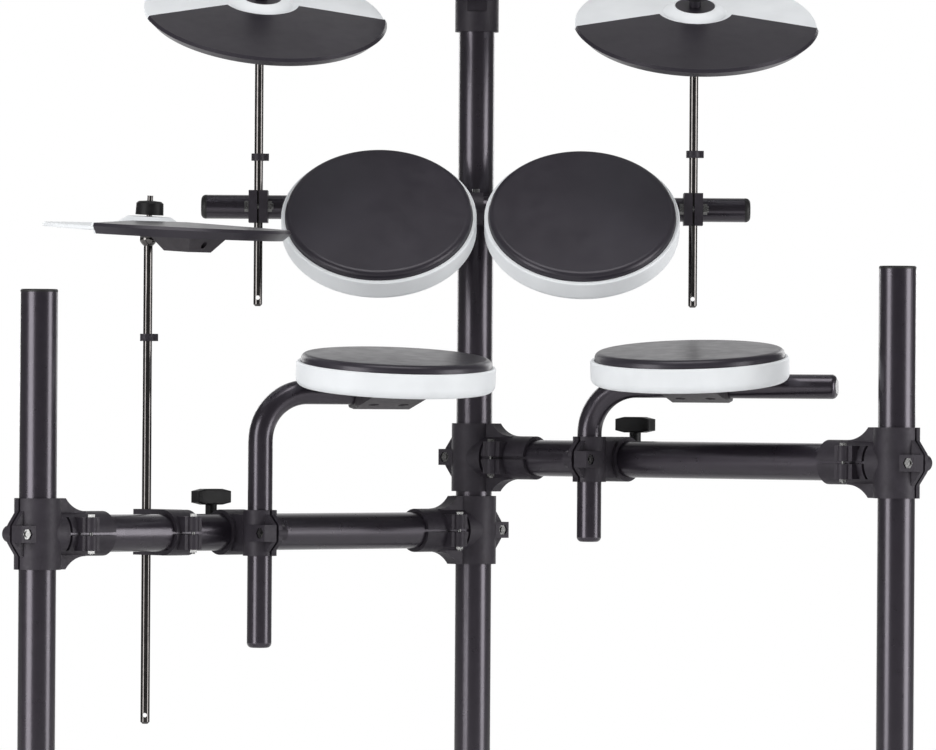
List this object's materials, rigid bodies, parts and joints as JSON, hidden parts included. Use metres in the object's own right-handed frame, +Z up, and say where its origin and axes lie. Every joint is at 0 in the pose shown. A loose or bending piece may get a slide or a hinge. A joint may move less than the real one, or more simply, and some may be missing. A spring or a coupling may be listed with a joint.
{
  "type": "electronic drum kit",
  "caption": "Electronic drum kit on a black tube rack: rubber drum pads in white rims, cymbal pads on slim rods and a sound module, each clamped so that it can be set to the drummer.",
  "frame": {"origin": "on the floor under the centre post's axis, at the bottom face of its foot", "axes": "+Z up along the posts, +X to the drummer's right along the crossbar, +Y away from the drummer"},
  "size_m": [0.9394, 0.484, 1.1657],
  "materials": {
    "rack_tube": "satin charcoal-black powder coat",
    "clamp_plastic": "finely textured moulded nylon",
    "end_plug": "plain moulded",
    "bolt_steel": "bright zinc",
    "cymbal_rod": "black chrome",
    "pad_rubber": "matt moulded rubber",
    "white_shell": "satin white moulding",
    "pad_base": "grained moulding",
    "knob_plastic": "moulded grip",
    "module_shell": "fine grain"
  },
  "bodies": {
    "stand": {"centre_post": "rack_tube", "centre_foot": "end_plug", "tom_crossbar": "rack_tube", "crossbar_plugs": "end_plug", "crossbar_bracket": "clamp_plastic", "cymbal_rod_clamps": "clamp_plastic", "module_holder": "clamp_plastic", "stand_bolts": "bolt_steel"},
    "left_wing": {"left_rail": "rack_tube", "left_post": "rack_tube", "left_post_plugs": "end_plug", "left_post_clamp": "clamp_plastic", "left_centre_clamp": "clamp_plastic", "hi_hat_rod_clamp": "clamp_plastic", "snare_rod_clamp": "clamp_plastic", "left_wing_bolts": "bolt_steel"},
    "right_wing": {"right_rail": "rack_tube", "right_post": "rack_tube", "right_post_plugs": "end_plug", "right_post_clamp": "clamp_plastic", "right_centre_clamp": "clamp_plastic", "floor_tom_rod_clamp": "clamp_plastic", "right_wing_bolts": "bolt_steel"},
    "snare_arm": {"snare_rod": "rack_tube"},
    "floor_tom_arm": {"floor_tom_rod": "rack_tube"},
    "snare_wing_knob": {"snare_wing_bolt": "knob_plastic"},
    "floor_tom_wing_knob": {"floor_tom_wing_bolt": "knob_plastic"},
    "module": {"module_case": "module_shell"},
    "module_dial_knob": {"module_dial": "knob_plastic"},
    "module_volume_knob": {"module_volume": "knob_plastic"},
    "snare_pad": {"snare_head": "pad_rubber", "snare_rim": "white_shell", "snare_base": "pad_base"},
    "floor_tom_pad": {"floor_tom_head": "pad_rubber", "floor_tom_rim": "white_shell", "floor_tom_base": "pad_base"},
    "left_tom_pad": {"left_tom_head": "pad_rubber", "left_tom_rim": "white_shell", "left_tom_base": "pad_base"},
    "right_tom_pad": {"right_tom_head": "pad_rubber", "right_tom_rim": "white_shell", "right_tom_base": "pad_base"},
    "crash_upright": {"crash_rod": "cymbal_rod", "crash_collar": "clamp_plastic"},
    "crash_cymbal": {"crash_bow": "white_shell", "crash_rubber": "pad_rubber", "crash_sensor_box": "pad_base"},
    "crash_top_nut": {"crash_nut": "knob_plastic"},
    "ride_upright": {"ride_rod": "cymbal_rod", "ride_collar": "clamp_plastic"},
    "ride_cymbal": {"ride_bow": "white_shell", "ride_rubber": "pad_rubber", "ride_sensor_box": "pad_base"},
    "ride_top_nut": {"ride_nut": "knob_plastic"},
    "hi_hat_upright": {"hi_hat_rod": "cymbal_rod", "hi_hat_collar": "clamp_plastic"},
    "hi_hat_cymbal": {"hi_hat_bow": "white_shell", "hi_hat_rubber": "pad_rubber", "hi_hat_sensor_box": "pad_base"},
    "hi_hat_top_nut": {"hi_hat_nut": "knob_plastic"}
  },
  "joints": [
    {"name": "left_wing_swing", "type": "hinge", "parent": "stand", "child": "left_wing", "pos_m": [0, 0, 0.51], "axis": [0, 0, 1], "range_deg": [-10, 5]},
    {"name": "right_wing_swing", "type": "hinge", "parent": "stand", "child": "right_wing", "pos_m": [0, 0, 0.587], "axis": [0, 0, 1], "range_deg": [-5, 10]},
    {"name": "snare_rod_slide", "type": "slide", "parent": "left_wing", "child": "snare_arm", "axis": [0, 0, 1], "range_m": [-0.05, 0.04]},
    {"name": "snare_tilt", "type": "hinge", "parent": "snare_arm", "child": "snare_pad", "pos_m": [-0.21959, -0.25827, 0.655], "axis": [0.9511, 0.309, 0], "range_deg": [-15, 20]},
    {"name": "floor_tom_rod_slide", "type": "slide", "parent": "right_wing", "child": "floor_tom_arm", "axis": [0, 0, 1], "range_m": [0, 0.04]},
    {"name": "floor_tom_tilt", "type": "hinge", "parent": "floor_tom_arm", "child": "floor_tom_pad", "pos_m": [0.11988, -0.15413, 0.664], "axis": [0.9659, -0.2588, 0], "range_deg": [-15, 20]},
    {"name": "left_tom_tilt", "type": "hinge", "parent": "stand", "child": "left_tom_pad", "pos_m": [-0.1015, -0.036, 0.85], "axis": [1, 0, 0], "range_deg": [-20, 15]},
    {"name": "right_tom_tilt", "type": "hinge", "parent": "stand", "child": "right_tom_pad", "pos_m": [0.1115, -0.036, 0.85], "axis": [1, 0, 0], "range_deg": [-20, 15]},
    {"name": "crash_rod_slide", "type": "slide", "parent": "stand", "child": "crash_upright", "axis": [0, 0, 1], "range_m": [-0.028, 0.06]},
    {"name": "crash_rock", "type": "hinge", "parent": "crash_upright", "child": "crash_cymbal", "pos_m": [-0.229, -0.057, 1.05], "axis": [0.9744, 0.225, 0], "range_deg": [-3, 3], "stiffness_Nm_per_rad": 12, "springref_deg": -1.1},
    {"name": "crash_nut_turn", "type": "hinge", "parent": "crash_upright", "child": "crash_top_nut", "pos_m": [-0.229, -0.057, 1.05], "axis": [0.0951, -0.4118, 0.9063], "continuous": true},
    {"name": "ride_rod_slide", "type": "slide", "parent": "stand", "child": "ride_upright", "axis": [0, 0, 1], "range_m": [-0.03, 0.06]},
    {"name": "ride_rock", "type": "hinge", "parent": "ride_upright", "child": "ride_cymbal", "pos_m": [0.229, -0.057, 1.044], "axis": [0.9994, 0.0349, 0], "range_deg": [-3, 3], "stiffness_Nm_per_rad": 12, "springref_deg": -1.1},
    {"name": "ride_nut_turn", "type": "hinge", "parent": "ride_upright", "child": "ride_top_nut", "pos_m": [0.229, -0.057, 1.044], "axis": [0.0153, -0.4381, 0.8988], "continuous": true},
    {"name": "hi_hat_rod_slide", "type": "slide", "parent": "left_wing", "child": "hi_hat_upright", "axis": [0, 0, 1], "range_m": [-0.1, 0.05]},
    {"name": "hi_hat_rock", "type": "hinge", "parent": "hi_hat_upright", "child": "hi_hat_cymbal", "pos_m": [-0.33696, -0.2415, 0.812], "axis": [0.6428, 0.766, 0], "range_deg": [-3, 3], "stiffness_Nm_per_rad": 12, "springref_deg": -1.1},
    {"name": "hi_hat_nut_turn", "type": "hinge", "parent": "hi_hat_upright", "child": "hi_hat_top_nut", "pos_m": [-0.33696, -0.2415, 0.812], "axis": [0.0428, -0.0359, 0.9984], "continuous": true},
    {"name": "snare_wing_bolt_turn", "type": "hinge", "parent": "left_wing", "child": "snare_wing_knob", "pos_m": [-0.27178, -0.2003, 0.54], "axis": [0, 0, 1], "continuous": true},
    {"name": "floor_tom_wing_bolt_turn", "type": "hinge", "parent": "right_wing", "child": "floor_tom_wing_knob", "pos_m": [0.16875, -0.09334, 0.617], "axis": [0, 0, 1], "continuous": true},
    {"name": "module_tilt", "type": "hinge", "parent": "stand", "child": "module", "pos_m": [0, 0, 1.092], "axis": [1, 0, 0], "range_deg": [-20, 12]},
    {"name": "module_dial_turn", "type": "hinge", "parent": "module", "child": "module_dial_knob", "pos_m": [0.054, -0.02004, 1.1347], "axis": [0, -0.5, 0.866], "continuous": true},
    {"name": "module_volume_turn", "type": "hinge", "parent": "module", "child": "module_volume_knob", "pos_m": [-0.061, -0.02004, 1.1347], "axis": [0, -0.5, 0.866], "range_deg": [-150, 150]}
  ]
}
